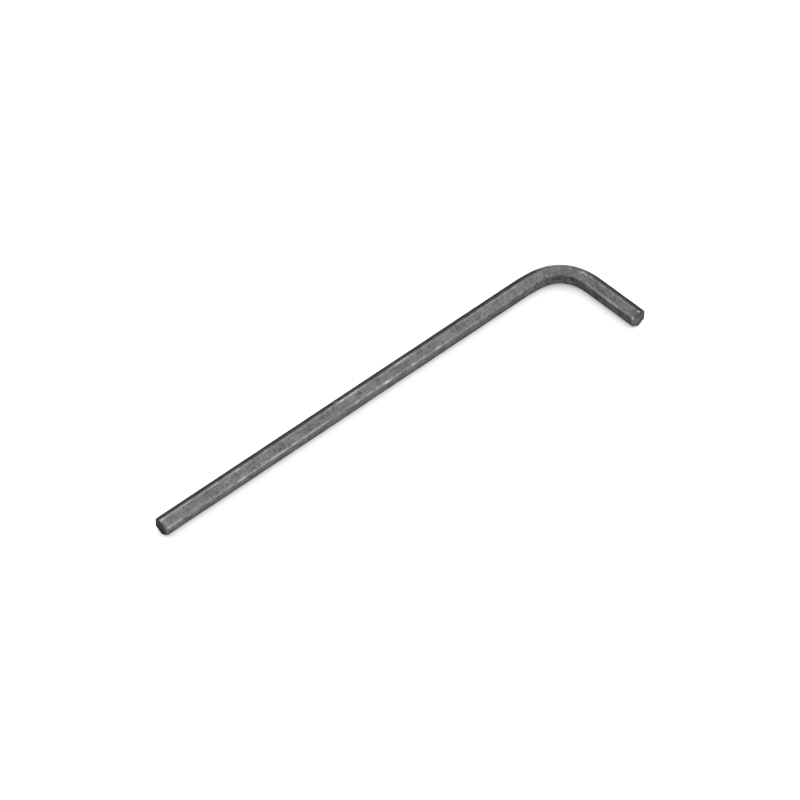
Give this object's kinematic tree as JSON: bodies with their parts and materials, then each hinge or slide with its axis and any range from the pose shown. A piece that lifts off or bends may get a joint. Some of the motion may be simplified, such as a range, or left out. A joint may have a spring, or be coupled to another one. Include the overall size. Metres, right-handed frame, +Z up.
{
  "type": "hex key",
  "caption": "L-shaped hexagonal steel bar with a long arm and a short arm, whose cut ends drive hexagon socket screws.",
  "frame": {"origin": "on the surface that the key lies on, under the middle of its outline", "axes": "+Z up, square to the plane of the bend; the long arm points to -X and the short arm to -Y"},
  "size_m": [0.0976, 0.0214, 0.0036],
  "materials": {
    "dark_steel": "satin black oxide, worn to bright steel along the corners and at the ends"
  },
  "bodies": {
    "root": {"hex_key": "dark_steel"}
  },
  "joints": []
}
